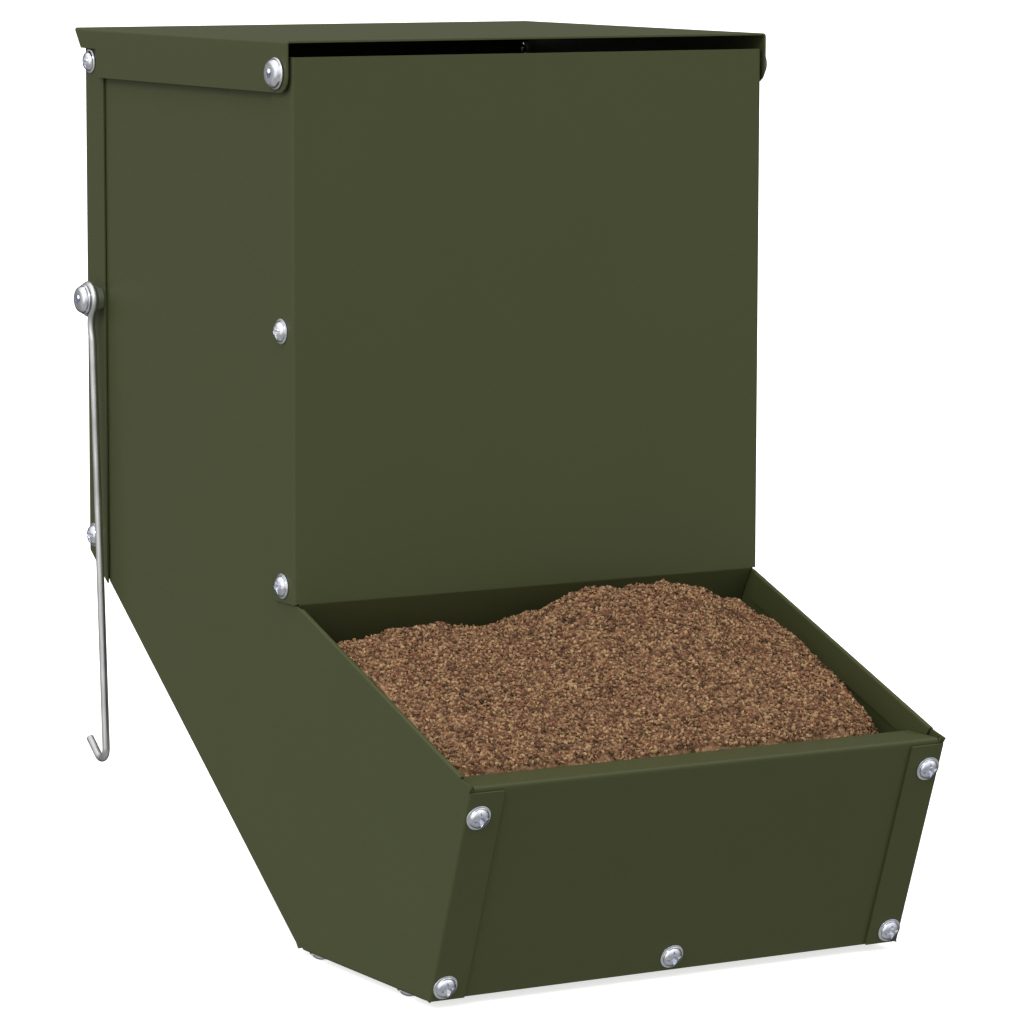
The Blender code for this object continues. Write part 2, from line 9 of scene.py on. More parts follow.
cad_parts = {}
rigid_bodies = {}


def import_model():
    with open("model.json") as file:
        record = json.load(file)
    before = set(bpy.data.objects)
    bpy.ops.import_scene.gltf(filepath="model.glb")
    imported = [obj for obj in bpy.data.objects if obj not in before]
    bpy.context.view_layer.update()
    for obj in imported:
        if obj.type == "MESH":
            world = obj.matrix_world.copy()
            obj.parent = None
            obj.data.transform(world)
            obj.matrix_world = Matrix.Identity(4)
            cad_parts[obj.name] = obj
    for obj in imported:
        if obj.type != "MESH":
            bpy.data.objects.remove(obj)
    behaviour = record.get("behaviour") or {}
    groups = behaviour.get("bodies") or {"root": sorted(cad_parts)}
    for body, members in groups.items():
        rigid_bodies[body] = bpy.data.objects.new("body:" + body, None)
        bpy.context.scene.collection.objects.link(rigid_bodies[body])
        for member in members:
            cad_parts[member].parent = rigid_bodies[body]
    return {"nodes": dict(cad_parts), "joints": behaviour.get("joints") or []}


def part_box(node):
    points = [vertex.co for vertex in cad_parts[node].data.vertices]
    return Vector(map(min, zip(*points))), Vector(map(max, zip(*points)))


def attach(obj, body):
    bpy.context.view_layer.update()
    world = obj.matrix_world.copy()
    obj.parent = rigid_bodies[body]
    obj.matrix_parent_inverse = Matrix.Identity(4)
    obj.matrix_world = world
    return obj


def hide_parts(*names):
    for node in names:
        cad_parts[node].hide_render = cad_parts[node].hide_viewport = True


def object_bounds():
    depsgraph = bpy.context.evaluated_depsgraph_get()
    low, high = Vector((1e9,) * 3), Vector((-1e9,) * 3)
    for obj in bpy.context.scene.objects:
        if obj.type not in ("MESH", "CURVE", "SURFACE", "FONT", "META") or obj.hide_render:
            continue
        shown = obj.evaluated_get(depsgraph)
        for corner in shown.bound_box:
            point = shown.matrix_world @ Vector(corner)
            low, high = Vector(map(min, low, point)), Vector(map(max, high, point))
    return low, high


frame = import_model()
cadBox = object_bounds()
print("frame loaded:", len(frame["nodes"]), "nodes")

mm = 0.001
tau = 2 * math.pi


def toLinear(hexText):
    # sRGB hex to the linear values that Blender works in
    channels = [int(hexText[i : i + 2], 16) / 255 for i in (1, 3, 5)]
    return [c / 12.92 if c <= 0.04045 else ((c + 0.055) / 1.055) ** 2.4 for c in channels] + [1]


def addNode(tree, kind, inputs=None, stops=None, **settings):
    node = tree.nodes.new(kind)
    for name, value in settings.items():
        setattr(node, name, value)
    for name, value in (inputs or {}).items():
        if isinstance(value, bpy.types.NodeSocket):
            tree.links.new(value, node.inputs[name])
        else:
            node.inputs[name].default_value = value
    if stops:
        ramp = node.color_ramp.elements
        while len(ramp) < len(stops):
            ramp.new(1)
        for element, (position, hexText) in zip(ramp, stops):
            element.position = position
            element.color = toLinear(hexText)
    return node


def newMaterial(name, **shaderValues):
    material = bpy.data.materials.new(name)
    material.use_nodes = True
    tree = material.node_tree
    tree.nodes.clear()
    shader = addNode(tree, "ShaderNodeBsdfPrincipled")
    for socket, value in shaderValues.items():
        shader.inputs[socket.replace("_", " ")].default_value = value
    addNode(tree, "ShaderNodeOutputMaterial", {"Surface": shader.outputs[0]})
    return material, tree, shader


def periodScale(period):
    # texture scale that repeats about once each period, given in metres
    return 1 / period


noiseRange = {"From Min": 0.3, "From Max": 0.7}  # most of a noise texture's values lie here


powderCoat = {
    "color": "#474C2F",
    "darker": "#454A2D",
    # lighter coat colour for the cut edges: a painted highlight along each cut edge
    "edgeHighlightColor": "#53593A",
    "roughness": 0.52,
    "edgeRoughness": 0.44,
    "roughnessSpread": 0.05,
    "specular": 0.2,
    "orangePeel": 1.5 * mm,
    "peelDepth": 0.02 * mm,
    "grain": 0.45 * mm,
    "grainDepth": 0.004 * mm,
    "cloud": 45 * mm,
}


def powderCoatMaterial(name, color, darker, roughness):
    # Satin polyester powder coat baked on steel. The eye gets a soft even sheen, the faint
    # ripple of orange peel about 1.5 mm across, and a fine grain that breaks up highlights.
    # The grain is drawn at 0.45 mm, coarser than the powder itself, so that it shows.
    look = powderCoat
    material, tree, shader = newMaterial(name)
    shader.inputs["Specular IOR Level"].default_value = look["specular"]
    place = addNode(tree, "ShaderNodeTexCoord").outputs["Object"]
    peel = addNode(tree, "ShaderNodeTexNoise", {
        "Vector": place, "Scale": periodScale(look["orangePeel"]), "Detail": 2, "Roughness": 0.45,
    })
    grain = addNode(tree, "ShaderNodeTexNoise", {
        "Vector": place, "Scale": periodScale(look["grain"]), "Detail": 1,
    })
    cloud = addNode(tree, "ShaderNodeTexNoise", {
        "Vector": place, "Scale": periodScale(look["cloud"]), "Detail": 3,
    })
    tone = addNode(tree, "ShaderNodeMix", {
        0: cloud.outputs["Fac"], 6: toLinear(color), 7: toLinear(darker),
    }, data_type="RGBA")
    tree.links.new(tone.outputs[2], shader.inputs["Base Color"])
    spread = look["roughnessSpread"]
    sheen = addNode(tree, "ShaderNodeMapRange", {
        "Value": grain.outputs["Fac"], **noiseRange,
        "To Min": roughness - spread, "To Max": roughness + spread,
    })
    tree.links.new(sheen.outputs[0], shader.inputs["Roughness"])
    rippled = addNode(tree, "ShaderNodeBump", {
        "Height": peel.outputs["Fac"], "Distance": look["peelDepth"], "Strength": 1,
    })
    grained = addNode(tree, "ShaderNodeBump", {
        "Height": grain.outputs["Fac"], "Distance": look["grainDepth"], "Strength": 1,
        "Normal": rippled.outputs[0],
    })
    tree.links.new(grained.outputs[0], shader.inputs["Normal"])
    return material


zincPlate = {
    "color": "#F0F1F2",
    "blue": "#D0D4E3",
    "roughness": (0.09, 0.25),  # where it is smoothest and where it is most frosted
    "smear": 2.2 * mm,
    "grain": 0.35 * mm,
    "grainDepth": 0.003 * mm,
}


def zincMaterial():
    # Bright electroplated zinc with a clear blue passivate. The eye gets a silvery metal whose
    # tint drifts to blue every 2 mm or so, with a frosting that spreads its highlights. The
    # frosting is drawn at 0.35 mm, coarser than the plating's crystals, so that it shows.
    look = zincPlate
    material, tree, shader = newMaterial("bright zinc plate", Metallic=1)
    place = addNode(tree, "ShaderNodeTexCoord").outputs["Object"]
    smear = addNode(tree, "ShaderNodeTexNoise", {
        "Vector": place, "Scale": periodScale(look["smear"]), "Detail": 2,
    })
    grain = addNode(tree, "ShaderNodeTexNoise", {
        "Vector": place, "Scale": periodScale(look["grain"]), "Detail": 2,
    })
    tint = addNode(tree, "ShaderNodeValToRGB", {"Fac": smear.outputs["Fac"]}, stops=[
        (0.35, look["color"]), (0.7, look["blue"]),
    ])
    tree.links.new(tint.outputs[0], shader.inputs["Base Color"])
    gloss = addNode(tree, "ShaderNodeMapRange", {
        "Value": grain.outputs["Fac"], **noiseRange,
        "To Min": look["roughness"][0], "To Max": look["roughness"][1],
    })
    tree.links.new(gloss.outputs[0], shader.inputs["Roughness"])
    frosted = addNode(tree, "ShaderNodeBump", {
        "Height": grain.outputs["Fac"], "Distance": look["grainDepth"], "Strength": 1,
    })
    tree.links.new(frosted.outputs[0], shader.inputs["Normal"])
    return material


drawnWire = {
    "color": "#E3E3E2",
    "dark": "#B2B2B2",
    "roughness": (0.26, 0.44),
    "streakWidth": 0.35 * mm,
    "streakLength": 14 * mm,
    "streakDepth": 0.012 * mm,
    "stain": 22 * mm,
    "toneLift": 0.1,
}


def wireMaterial():
    # Cold drawn steel wire with a thin zinc wash. The eye gets a light grey metal with die
    # lines along its length and cloudy changes of tone about every 22 mm. The lines are drawn
    # 0.35 mm wide, coarser than a die leaves them, so that they show.
    look = drawnWire
    material, tree, shader = newMaterial("drawn steel wire", Metallic=1)
    along = addNode(tree, "ShaderNodeUVMap", uv_map="wire").outputs[0]
    drawn = addNode(tree, "ShaderNodeMapping", {
        "Vector": along,
        "Scale": (periodScale(look["streakWidth"]), periodScale(look["streakLength"]), 1),
    })
    streak = addNode(tree, "ShaderNodeTexNoise", {
        "Vector": drawn.outputs[0], "Scale": 1, "Detail": 3,
    })
    place = addNode(tree, "ShaderNodeTexCoord").outputs["Object"]
    stain = addNode(tree, "ShaderNodeTexNoise", {
        "Vector": place, "Scale": periodScale(look["stain"]), "Detail": 3,
    })
    mixed = addNode(tree, "ShaderNodeMath", {
        0: streak.outputs["Fac"], 1: stain.outputs["Fac"], 2: look["toneLift"],
    }, operation="MULTIPLY_ADD")
    tone = addNode(tree, "ShaderNodeValToRGB", {"Fac": mixed.outputs[0]}, stops=[
        (0.2, look["dark"]), (0.5, look["color"]),
    ])
    tree.links.new(tone.outputs[0], shader.inputs["Base Color"])
    gloss = addNode(tree, "ShaderNodeMapRange", {
        "Value": streak.outputs["Fac"], **noiseRange,
        "To Min": look["roughness"][0], "To Max": look["roughness"][1],
    })
    tree.links.new(gloss.outputs[0], shader.inputs["Roughness"])
    lined = addNode(tree, "ShaderNodeBump", {
        "Height": streak.outputs["Fac"], "Distance": look["streakDepth"], "Strength": 1,
    })
    tree.links.new(lined.outputs[0], shader.inputs["Normal"])
    return material


feedLook = {
    "shadow": "#33261B",
    "brown": "#6E533D",
    "red": "#8A6048",
    "tan": "#917254",
    "light": "#B8976F",
    "roughness": 0.88,
    "specular": 0.2,
    "fleck": 0.5 * mm,
    "fleckDepth": 0.12 * mm,
    "fleckShare": 0.25,
    "clod": 7 * mm,
    "clodShare": 0.2,
    "pit": 1.3 * mm,
    "pitDepth": 0.5 * mm,
}


def feedMaterial(name, loose):
    # Ground layer feed pressed to crumble. The eye gets matt brown crumbs from dark bran to
    # pale maize, each with its own tone, dusty flecks 0.5 mm across, and patches of 7 mm where
    # the feed has clodded. Settled feed has a pit between crumbs about every 1.3 mm.
    look = feedLook
    material, tree, shader = newMaterial(name, Roughness=look["roughness"])
    shader.inputs["Specular IOR Level"].default_value = look["specular"]
    place = addNode(tree, "ShaderNodeTexCoord").outputs["Object"]
    fleck = addNode(tree, "ShaderNodeTexNoise", {
        "Vector": place, "Scale": periodScale(look["fleck"]), "Detail": 2,
    })
    clod = addNode(tree, "ShaderNodeTexNoise", {
        "Vector": place, "Scale": periodScale(look["clod"]), "Detail": 2,
    })
    if loose:
        own = addNode(tree, "ShaderNodeAttribute", attribute_name="tone").outputs["Fac"]
        height, depth = fleck.outputs["Fac"], look["fleckDepth"]
    else:
        pits = addNode(tree, "ShaderNodeTexVoronoi", {
            "Vector": place, "Scale": periodScale(look["pit"]),
        })
        own = pits.outputs["Color"]
        height, depth = pits.outputs["Distance"], look["pitDepth"]
    flecked = addNode(tree, "ShaderNodeMix", {
        0: look["fleckShare"], 2: own, 3: fleck.outputs["Fac"],
    })
    clodded = addNode(tree, "ShaderNodeMix", {
        0: look["clodShare"], 2: flecked.outputs[0], 3: clod.outputs["Fac"],
    })
    tone = addNode(tree, "ShaderNodeValToRGB", {"Fac": clodded.outputs[0]}, stops=[
        (0.14, look["shadow"]), (0.32, look["brown"]), (0.45, look["red"]), (0.58, look["tan"]),
        (0.84, look["light"]),
    ])
    tree.links.new(tone.outputs[0], shader.inputs["Base Color"])
    rough = addNode(tree, "ShaderNodeBump", {
        "Height": height, "Distance": depth, "Strength": 1,
    }, invert=not loose)
    tree.links.new(rough.outputs[0], shader.inputs["Normal"])
    return material


coat = powderCoatMaterial(
    "olive powder coat", powderCoat["color"], powderCoat["darker"], powderCoat["roughness"]
)
# the cut edges' finish: a lighter colour that paints the highlight along each cut edge, and a
# little less roughness
coatEdgeHighlight = powderCoatMaterial(
    "thin powder coat on cut edges", powderCoat["edgeHighlightColor"], powderCoat["color"],
    powderCoat["edgeRoughness"],
)
zinc = zincMaterial()
wire = wireMaterial()
looseFeed = feedMaterial("layer feed crumble", True)
packedFeed = feedMaterial("settled feed crumble", False)
print("materials made")


def meshOf(bm, name):
    mesh = bpy.data.meshes.new(name)
    bm.to_mesh(mesh)
    bm.free()
    return mesh


def addObject(mesh, name):
    obj = bpy.data.objects.new(name, mesh)
    bpy.context.scene.collection.objects.link(obj)
    return obj


def setFinish(obj, *materials):
    obj.data.materials.clear()
    for material in materials:
        obj.data.materials.append(material)


def frozen(obj, name):
    # the object's mesh with its modifiers applied, as plain data
    bpy.context.view_layer.update()
    graph = bpy.context.evaluated_depsgraph_get()
    made = bpy.data.meshes.new_from_object(
        obj.evaluated_get(graph), preserve_all_data_layers=True, depsgraph=graph
    )
    made.name = name
    bpy.data.objects.remove(obj, do_unlink=True)
    return made


cutWeld = 0.001 * mm  # a cut leaves some corners double, closer together than this


def carve(mesh, cutterMesh, operation):
    blank = addObject(mesh, "blank")
    cutter = addObject(cutterMesh, "cutter")
    step = blank.modifiers.new("carve", "BOOLEAN")
    step.operation = operation
    step.solver = "EXACT"
    step.object = cutter
    made = frozen(blank, mesh.name)
    bpy.data.objects.remove(cutter, do_unlink=True)
    bm = bmesh.new()
    bm.from_mesh(made)
    bmesh.ops.remove_doubles(bm, verts=bm.verts, dist=cutWeld)
    return meshOf(bm, mesh.name)


def joinRings(bm, rings):
    # skins a row of rings; a ring of one vertex is a pole
    for upper, lower in zip(rings, rings[1:]):
        steps = max(len(upper), len(lower))
        for step in range(steps):
            after = (step + 1) % steps
            corners = [upper[step % len(upper)], lower[step % len(lower)]]
            corners += [lower[after % len(lower)], upper[after % len(upper)]]
            bm.faces.new(list(dict.fromkeys(corners)))
    bmesh.ops.recalc_face_normals(bm, faces=bm.faces)


def ring(bm, radii, height, turn=0):
    # corners evenly round Z, one for each radius; turn is a share of the step between them
    angles = [tau * (i + turn) / len(radii) for i in range(len(radii))]
    return [
        bm.verts.new((radius * math.cos(angle), radius * math.sin(angle), height))
        for radius, angle in zip(radii, angles)
    ]


def profileRings(bm, profile, steps):
    # a ring for each (radius, height); one on the axis is a single corner
    return [ring(bm, [radius] * (steps if radius else 1), height) for radius, height in profile]


def turned(name, profile, steps=48, closed=False):
    # turns the profile about Z, from the top down the outside
    bm = bmesh.new()
    rings = profileRings(bm, profile, steps)
    joinRings(bm, rings + rings[:1] if closed else rings)
    return meshOf(bm, name)


def softShade(mesh, angle=32):
    mesh.shade_smooth()
    mesh.set_sharp_from_angle(angle=math.radians(angle))
    return mesh


def runTree(tree, carrier, values, name):
    # the carrier's mesh after a Geometry Nodes tree, made plain; the carrier is used up
    modifier = carrier.modifiers.new(tree.name, "NODES")
    modifier.node_group = tree
    for item in tree.interface.items_tree:
        if item.item_type == "SOCKET" and item.in_out == "INPUT" and item.name in values:
            modifier[item.identifier] = values[item.name]
    return frozen(carrier, name)


def newTree(name, sockets):
    tree = bpy.data.node_groups.new(name, "GeometryNodeTree")
    tree.interface.new_socket("Geometry", in_out="INPUT", socket_type="NodeSocketGeometry")
    tree.interface.new_socket("Geometry", in_out="OUTPUT", socket_type="NodeSocketGeometry")
    for title, kind in sockets.items():
        tree.interface.new_socket(title, in_out="INPUT", socket_type="NodeSocket" + kind)
    return tree, addNode(tree, "NodeGroupInput").outputs


panelLook = {
    "cutEdge": 0.13 * mm,  # rounding that the coat leaves on a cut edge
    "cutAngle": 55,  # edges sharper than this are cut, softer ones are folds
    "flatAngle": 0.6,  # faces that meet at less than this are one flat face
    "shadeAngle": 80,
    "weld": 0.002 * mm,
}


def panelMesh(nodeName):
    look = panelLook
    bm = bmesh.new()
    bm.from_mesh(frame["nodes"][nodeName].data)
    bmesh.ops.remove_doubles(bm, verts=bm.verts, dist=look["weld"])
    flat = [
        edge for edge in bm.edges
        if len(edge.link_faces) == 2 and edge.calc_face_angle() < math.radians(look["flatAngle"])
    ]
    bmesh.ops.dissolve_edges(bm, edges=flat, use_verts=False, use_face_split=False)
    cut = [
        edge for edge in bm.edges
        if len(edge.link_faces) == 2 and edge.calc_face_angle() > math.radians(look["cutAngle"])
    ]
    # the rounded faces take the second finish, whose lighter colour paints a highlight along each
    # cut edge
    bmesh.ops.bevel(
        bm, geom=cut, offset=look["cutEdge"], offset_type="OFFSET", segments=2, profile=0.5,
        affect="EDGES", clamp_overlap=True, material=1,
    )
    return meshOf(bm, nodeName)


def weighted(mesh, name):
    # big faces keep their own normal, and folds and rounded edges blend between them
    holder = addObject(mesh, name)
    mesh.shade_smooth()
    mesh.set_sharp_from_angle(angle=math.radians(panelLook["shadeAngle"]))
    step = holder.modifiers.new("even shading", "WEIGHTED_NORMAL")
    step.mode = "FACE_AREA"
    step.weight = 100  # the strongest that the modifier has
    step.keep_sharp = True
    return frozen(holder, name)


panels = {
    "side_panel_left": "painted_side_left",
    "side_panel_right": "painted_side_right",
    "hopper_front_panel": "painted_hopper_front",
    "back_panel": "painted_back",
    "floor_panel": "painted_floor",
    "trough_front_panel": "painted_trough_front",
    "lid": "painted_lid",
}
for nodeName, pieceName in panels.items():
    mesh = weighted(panelMesh(nodeName), pieceName)
    panel = addObject(mesh, pieceName)
    setFinish(panel, coat, coatEdgeHighlight)
    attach(panel, "lid" if nodeName == "lid" else "housing")
    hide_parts(nodeName)
print("panels folded")


panScrew = {
    "profile": [  # radius and height in mm, dome first, then the pressed collar
        (0, 2.6), (0.9, 2.58), (1.8, 2.47), (2.6, 2.2), (3.2, 1.83), (3.62, 1.38), (3.82, 0.95),
        (3.86, 0.66), (3.95, 0.56), (4.15, 0.55), (4.5, 0.55), (4.68, 0.46), (4.75, 0.3),
        (4.75, 0.14), (4.68, 0.03), (4.58, 0), (2.5, 0),
    ],
    "crossSpan": 7.0 * mm,
    "crossWidth": 1.75 * mm,
    "crossDepth": 1.9 * mm,
    # height above the top of the head in depths, and width in shares
    "crossLevels": [(2, 1.3), (0, 1), (-0.55, 0.8), (-1, 0.42)],
    "crossTurn": 24,
    "sink": 0.27 * mm,  # the head is drawn down on to the sheet by this much
}
buttonBolt = {
    "profile": [
        (0, 3.0), (3.5, 3.0), (3.85, 2.96), (4.3, 2.8), (4.75, 2.45), (5.08, 1.98), (5.26, 1.5),
        (5.34, 1.05), (5.37, 0.88), (5.46, 0.8), (5.66, 0.78), (5.8, 0.7), (5.9, 0.52), (5.9, 0.22),
        (5.8, 0.05), (5.66, 0), (2.5, 0),
    ],
    "socketWidth": 3.3 * mm,
    "socketDepth": 1.9 * mm,
    "socketPoint": 1.35,  # depth of the drill point, in socket depths
    "sink": 0.15 * mm,
}
thread = {
    "radius": 2.5 * mm,
    "pitch": 0.8 * mm,
    "depth": 0.32 * mm,
    "tip": 0.6 * mm,
    "rowsPerPitch": 4,
}
hexNut = {
    "width": 8.0 * mm,
    "height": 4.0 * mm,
    "bore": 2.56 * mm,
    "mouth": 0.35 * mm,
    "chamfer": 0.5 * mm,
    "chamferInset": 0.05 * mm,
    "sink": 0.27 * mm,
}
bush = {
    "flangeRadius": 5.0 * mm,
    "flange": 2.6 * mm,
    "hubRadius": 3.7 * mm,
    "bore": 2.6 * mm,
    "rounding": 0.15 * mm,
    "sink": 0.15 * mm,
}
washer = {
    "radius": 5.0 * mm,
    "bore": 2.7 * mm,
    "rounding": 0.12 * mm,
}


def threaded(name, profile, length, steps=40):
    # a head with a rolled thread below it, closed by a chamfered tip
    bm = bmesh.new()
    rings = profileRings(bm, [(radius * mm, height * mm) for radius, height in profile], steps)
    rows = round(thread["rowsPerPitch"] * length / thread["pitch"])
    for row in range(1, rows + 1):
        height = -length * row / rows
        reach = thread["radius"] - max(0, thread["tip"] - length - height)
        phases = [tau * (height / thread["pitch"] + i / steps) for i in range(steps)]
        radii = [reach - thread["depth"] * (0.5 - 0.5 * math.cos(phase)) for phase in phases]
        rings.append(ring(bm, radii, height))
    rings.append(ring(bm, [0], -length))
    joinRings(bm, rings)
    return meshOf(bm, name)


def crossCutter():
    # a tapering cross that stands in the top of the head
    look = panScrew
    half, arm = look["crossWidth"] / 2, look["crossSpan"] / 2
    quarter = [(half, arm), (half, half)]
    outline = []
    for cosine, sine in ((1, 0), (0, 1), (-1, 0), (0, -1)):
        outline += [(x * cosine + y * sine, y * cosine - x * sine) for x, y in quarter]
    top = look["profile"][0][1] * mm
    spin = Matrix.Rotation(math.radians(look["crossTurn"]), 3, "Z")
    bm = bmesh.new()
    rings = []
    for depths, scale in look["crossLevels"]:
        height = top + depths * look["crossDepth"]
        rings.append([
            bm.verts.new(spin @ Vector((x * scale, y * scale, height))) for x, y in outline
        ])
    bm.faces.new(rings[0])
    bm.faces.new(list(reversed(rings[-1])))
    joinRings(bm, rings)
    return meshOf(bm, "cross")


def socketCutter():
    # a hexagon that stands in the top of the head, with the drill's point below it
    look = buttonBolt
    top = look["profile"][0][1] * mm
    corner = look["socketWidth"] / math.sqrt(3)
    depth = look["socketDepth"]
    return turned("socket", [
        (0, top + depth), (corner, top + depth), (corner, top - depth),
        (0, top - look["socketPoint"] * depth),
    ], steps=6)


def nutMesh():
    # a hexagonal block, turned to chamfer its corners, then drilled
    look = hexNut
    corner = look["width"] / math.sqrt(3)
    height, chamfer, mouth = look["height"], look["chamfer"], look["mouth"]
    bm = bmesh.new()
    rings = [ring(bm, [corner] * 6, level, turn=0.5) for level in (0, -height)]
    bm.faces.new(rings[0])
    bm.faces.new(list(reversed(rings[1])))
    joinRings(bm, rings)
    block = meshOf(bm, "hex_nut")
    over = 0.5 * mm  # how far both cutters reach past the block
    edge = look["width"] / 2 - look["chamferInset"]
    wide = corner + 0.2 * mm  # just clear of the corners
    tip = edge - (wide - edge) * over / chamfer
    lens = turned("chamfer", [
        (0, over), (tip, over), (wide, -chamfer), (wide, chamfer - height),
        (tip, -height - over), (0, -height - over),
    ])
    block = carve(block, lens, "INTERSECT")
    bore = look["bore"]
    flared = bore + mouth + over
    drill = turned("bore", [
        (0, over), (flared, over), (bore, -mouth), (bore, mouth - height),
        (flared, -height - over), (0, -height - over),
    ])
    return softShade(carve(block, drill, "DIFFERENCE"), 28)


def ringMesh(name, outer, bore, thickness, rounding):
    r = rounding
    return softShade(turned(name, [
        (outer - r, thickness), (outer, thickness - r), (outer, r), (outer - r, 0),
        (bore + r, 0), (bore, r), (bore, thickness - r), (bore + r, thickness),
    ], closed=True), 50)


def bushMesh(length):
    b, r = bush, bush["rounding"]
    return softShade(turned("bush", [
        (b["hubRadius"] - r, length), (b["hubRadius"], length - r), (b["hubRadius"], b["flange"]),
        (b["flangeRadius"] - r, b["flange"]), (b["flangeRadius"], b["flange"] - r),
        (b["flangeRadius"], r), (b["flangeRadius"] - r, 0), (b["bore"], 0), (b["bore"], length),
    ], closed=True), 40)


def faceNormal(nodeName, rough, within=12):
    # the normal of the node's flat face that looks that way, within so many degrees
    rough = Vector(rough).normalized()
    total = Vector()
    for face in frame["nodes"][nodeName].data.polygons:
        if face.normal.dot(rough) > math.cos(math.radians(within)):
            total += face.normal * face.area
    return total.normalized()


troughOut = faceNormal("trough_front_panel", (0, -0.94, -0.34))
slopeOut = faceNormal("floor_panel", (0, 0.59, -0.81))


def wayOut(nodeName):
    if nodeName.startswith("trough"):
        return troughOut
    if nodeName.startswith("slope"):
        return slopeOut
    if nodeName.startswith("base"):
        return Vector((0, 0, -1))
    return Vector((-1 if "left" in nodeName else 1, 0, 0))


def seat(nodeName):
    # where a fastener sits: its turn, a point on its axis, and how far its ends lie along it
    out = wayOut(nodeName)
    flat = Vector((0, 1, 0)) if abs(out.x) > 0.5 else Vector((1, 0, 0))
    side = out.cross(flat).normalized()
    axes = Matrix((side.cross(out), side, out))
    local = np.array([axes @ v.co for v in frame["nodes"][nodeName].data.vertices])
    low, high = local.min(0), local.max(0)
    middle = (low + high) / 2
    turn = axes.transposed()
    return turn, turn @ Vector((middle[0], middle[1], 0)), low[2], high[2]


fastenerTree, given = newTree("place fasteners", {
    "Fastener": "Object", "Sink": "Float", "Finish": "Material",
})
spin = addNode(fastenerTree, "GeometryNodeInputNamedAttribute", {
    "Name": "spin",
}, data_type="FLOAT_VECTOR")
spin = addNode(fastenerTree, "FunctionNodeEulerToRotation", {0: spin.outputs[0]})
blank = addNode(fastenerTree, "GeometryNodeObjectInfo", {"Object": given["Fastener"]})
copies = addNode(fastenerTree, "GeometryNodeInstanceOnPoints", {
    "Points": given["Geometry"], "Instance": blank.outputs["Geometry"],
    "Rotation": spin.outputs[0],
})
down = addNode(fastenerTree, "ShaderNodeMath", {0: given["Sink"], 1: -1}, operation="MULTIPLY")
down = addNode(fastenerTree, "ShaderNodeCombineXYZ", {"Z": down.outputs[0]})
copies = addNode(fastenerTree, "GeometryNodeTranslateInstances", {
    "Instances": copies.outputs[0], "Translation": down.outputs[0], "Local Space": True,
})
solid = addNode(fastenerTree, "GeometryNodeRealizeInstances", {"Geometry": copies.outputs[0]})
solid = addNode(fastenerTree, "GeometryNodeSetMaterial", {
    "Geometry": solid.outputs[0], "Material": given["Finish"],
})
addNode(fastenerTree, "NodeGroupOutput", {"Geometry": solid.outputs[0]})


def placeFasteners(shape, seats, sink):
    # shape is copied to each seat, given as (turn, point)
    mesh = bpy.data.meshes.new("seats")
    mesh.from_pydata([point for _, point in seats], [], [])
    spins = mesh.attributes.new("spin", "FLOAT_VECTOR", "POINT")
    for value, (turn, _) in zip(spins.data, seats):
        value.vector = turn.to_euler()
    blank = addObject(shape, "blank")
    made = runTree(fastenerTree, addObject(mesh, "seats"), {
        "Fastener": blank, "Sink": sink, "Finish": zinc,
    }, shape.name)
    bpy.data.objects.remove(blank, do_unlink=True)
    return made


def joined(meshes, name):
    bm = bmesh.new()
    for mesh in meshes:
        bm.from_mesh(mesh)
    return meshOf(bm, name)


def fastenerPiece(pieceName, kinds):
    # each kind is its node names, a function from length to shape, whether the shape hangs from
    # the top of its node or stands on the foot, and how far it sinks
    parts, covered = [], []
    for names, shapeOf, atTop, sink in kinds:
        byLength = {}
        for nodeName in names:
            turn, centre, low, high = seat(nodeName)
            out = turn.col[2]
            point = centre + out * (high if atTop else low)
            byLength.setdefault(round((high - low) / mm, 2), []).append((turn, point))
        for length, seats in byLength.items():
            parts.append(placeFasteners(shapeOf(length * mm), seats, sink))
        covered += names
    piece = addObject(joined(parts, pieceName), pieceName)
    setFinish(piece, zinc)
    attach(piece, "housing")
    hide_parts(*covered)


def ending(text):
    return sorted(name for name in frame["nodes"] if name.endswith(text))


def containing(text):
    return sorted(name for name in frame["nodes"] if text in name)


def headed(look, cutter):
    height = look["profile"][0][1]

    def shapeOf(length):
        # measured from the top of the head, as the seats are
        shape = threaded("screw", look["profile"], length - height * mm)
        shape = carve(shape, cutter(), "DIFFERENCE")
        shape.transform(Matrix.Translation((0, 0, -height * mm)))
        return softShade(shape)

    return shapeOf


fastenerPiece("pan_head_screws", [
    (ending("_screw"), headed(panScrew, crossCutter), True, panScrew["sink"]),
])
fastenerPiece("button_head_bolts", [
    (ending("_bolt"), headed(buttonBolt, socketCutter), True, buttonBolt["sink"]),
])
fastenerPiece("hex_nuts", [
    (ending("_nut"), lambda length: nutMesh(), True, -hexNut["sink"]),
])
fastenerPiece("washers_and_bushes", [
    (containing("washer"), lambda length: ringMesh(
        "washer", washer["radius"], washer["bore"], length, washer["rounding"]), False, 0.0),
    (containing("bush"), bushMesh, False, bush["sink"]),
])
print("fasteners placed")


hookShape = {  # angles in degrees
    "wireRadius": 1.5 * mm,
    "eyeRadius": 5.5 * mm,
    "eyeOpening": 52,
    "neckStart": 40,
    "neckLength": 11 * mm,
    "neckEase": 0.9,
    "shaftOffset": 2.4 * mm,
    "reach": 180.2 * mm,
    "footRadius": 4.5 * mm,
    "footTurn": 130,
    "tip": 10 * mm,
    "tipRounding": 0.7 * mm,
    "tipRings": (0.35, 0.65, 0.86),  # shares of the rounding, towards its flat end
    "cutRounding": 0.18 * mm,  # the other end is cut, with its edge just broken
    "cutRadius": 0.86,
    "cutPattern": 0.15 * mm,  # how much of the wire's pattern lies on that broken edge
    "lean": 3.2,
    "steps": {"eye": 48, "neck": 18, "shaft": 12, "foot": 20},
    "sides": 20,
}


def arc(centre, radius, start, sweep, steps):
    angles = [start + sweep * i / steps for i in range(steps + 1)]
    return [centre + Vector((math.cos(a), math.sin(a))) * radius for a in angles]


